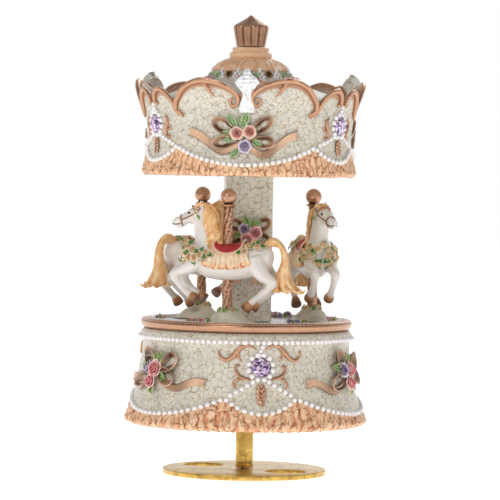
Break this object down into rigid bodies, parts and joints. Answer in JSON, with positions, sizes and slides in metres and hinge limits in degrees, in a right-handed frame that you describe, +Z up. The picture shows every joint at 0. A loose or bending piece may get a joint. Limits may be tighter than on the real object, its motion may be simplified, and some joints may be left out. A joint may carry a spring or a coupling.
{
  "type": "carousel music box",
  "caption": "Wind-up musical carousel: horses on poles between a skirted base and a domed canopy, turning on a round brass stand.",
  "frame": {"origin": "centre of the underside of the round stand plate, where the music box stands", "axes": "+Z up along the arbor, -Y to the front, +X to the right when seen from the front"},
  "size_m": [0.0948, 0.0948, 0.18],
  "materials": {
    "cream_resin": "hand-painted cast resin, cream with fine olive crackle",
    "peach_resin": "hand-painted cast resin, peach with rust-brown antiquing",
    "ivory_resin": "glazed ivory cast resin, hand-painted",
    "snow_resin": "white, sprinkled with fine glitter",
    "rose_gold": "rose-gold metallic lacquer",
    "bronze": "bronze metallic lacquer",
    "brass": "polished, with a fine turned grain",
    "steel": "bright steel",
    "nickel": "nickel-plated pressed steel and die casting",
    "rose_resin": "hand-painted roses, leaves and ribbon",
    "pearl": "pearl white",
    "amethyst": "clear faceted violet stone",
    "red_plastic": "moulded dark red knob on a wire"
  },
  "bodies": {
    "stand": {"stand_plate": "brass", "stand_post": "brass", "plate_screw": "steel", "winding_arbor": "steel", "main_wheel": "brass"},
    "carousel": {"base_casing": "cream_resin", "bottom_cover": "cream_resin", "cover_screw_1": "steel", "cover_screw_2": "steel", "cover_screw_3": "steel", "rim_ring": "rose_gold", "deck": "snow_resin", "column": "cream_resin", "mound_1": "cream_resin", "mound_2": "cream_resin", "mound_3": "cream_resin", "pole_1": "rose_gold", "pole_2": "rose_gold", "pole_3": "rose_gold", "horse_1": "ivory_resin", "horse_2": "ivory_resin", "horse_3": "ivory_resin", "canopy_crown": "cream_resin", "canopy_floor": "cream_resin", "canopy_roof": "peach_resin", "finial": "bronze", "base_gem_1": "amethyst", "base_gem_2": "amethyst", "base_gem_3": "amethyst", "base_spray_1": "rose_resin", "base_spray_2": "rose_resin", "base_spray_3": "rose_resin", "canopy_gem_1": "amethyst", "canopy_gem_2": "amethyst", "canopy_gem_3": "amethyst", "canopy_spray_1": "rose_resin", "canopy_spray_2": "rose_resin", "canopy_spray_3": "rose_resin", "plume_1": "pearl", "plume_2": "pearl", "plume_3": "pearl", "column_spray": "rose_resin", "bedplate": "nickel", "spring_housing": "nickel", "mainspring": "steel", "movement_screw_1": "steel", "movement_screw_2": "steel", "comb": "steel", "comb_screw_1": "steel", "comb_screw_2": "steel", "cylinder_bearing": "nickel", "governor_frame": "nickel"},
    "tune_cylinder": {"pin_cylinder": "brass"},
    "governor": {"governor_wheel": "brass"},
    "fan": {"governor_fan": "brass"},
    "slider": {"stop_slider": "red_plastic"}
  },
  "joints": [
    {"name": "turntable_spin", "type": "hinge", "parent": "stand", "child": "carousel", "pos_m": [0, 0, 0.024], "axis": [0, 0, 1], "continuous": true},
    {"name": "cylinder_spin", "type": "hinge", "parent": "carousel", "child": "tune_cylinder", "pos_m": [0.021, 0, 0.03402], "axis": [1, 0, 0], "continuous": true},
    {"name": "governor_wheel_spin", "type": "hinge", "parent": "carousel", "child": "governor", "pos_m": [0.029, -0.0072, 0.03402], "axis": [1, 0, 0], "continuous": true},
    {"name": "fan_spin", "type": "hinge", "parent": "carousel", "child": "fan", "pos_m": [0.0321, -0.01215, 0.036], "axis": [0, 0, 1], "continuous": true},
    {"name": "stop_slide", "type": "slide", "parent": "carousel", "child": "slider", "axis": [-0.4019, 0.9157, 0], "range_m": [0, 0.0025]}
  ],
  "couplings": [
    {"joint": "cylinder_spin", "follows": "turntable_spin", "ratio": -4},
    {"joint": "governor_wheel_spin", "follows": "turntable_spin", "ratio": 12},
    {"joint": "fan_spin", "follows": "turntable_spin", "ratio": 96}
  ]
}
